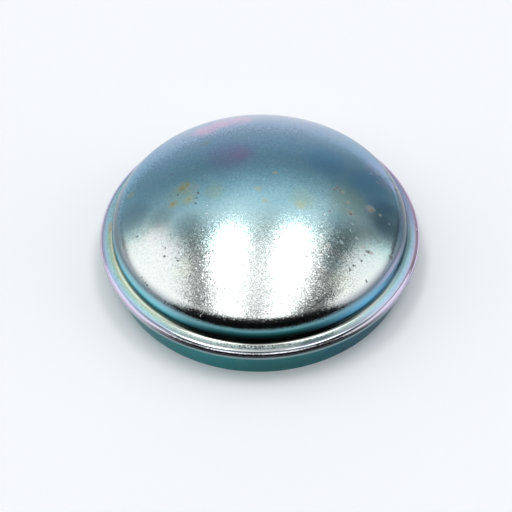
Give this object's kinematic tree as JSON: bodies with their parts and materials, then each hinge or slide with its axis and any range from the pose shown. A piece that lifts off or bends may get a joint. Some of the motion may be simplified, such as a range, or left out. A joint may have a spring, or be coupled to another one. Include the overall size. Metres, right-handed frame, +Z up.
{
  "type": "hub grease cap",
  "caption": "Domed sheet-steel cap with a hemmed flange and a press-in skirt, which closes a wheel hub and keeps the bearing grease in.",
  "frame": {"origin": "centre of the skirt's lower edge, which the cap stands on", "axes": "+Z up along the cap's axis, from the skirt to the top of the dome"},
  "size_m": [0.082, 0.082, 0.0295],
  "materials": {
    "zinc_plated_steel": "zinc plated, blue passivated"
  },
  "bodies": {
    "root": {"grease_cap": "zinc_plated_steel"}
  },
  "joints": []
}
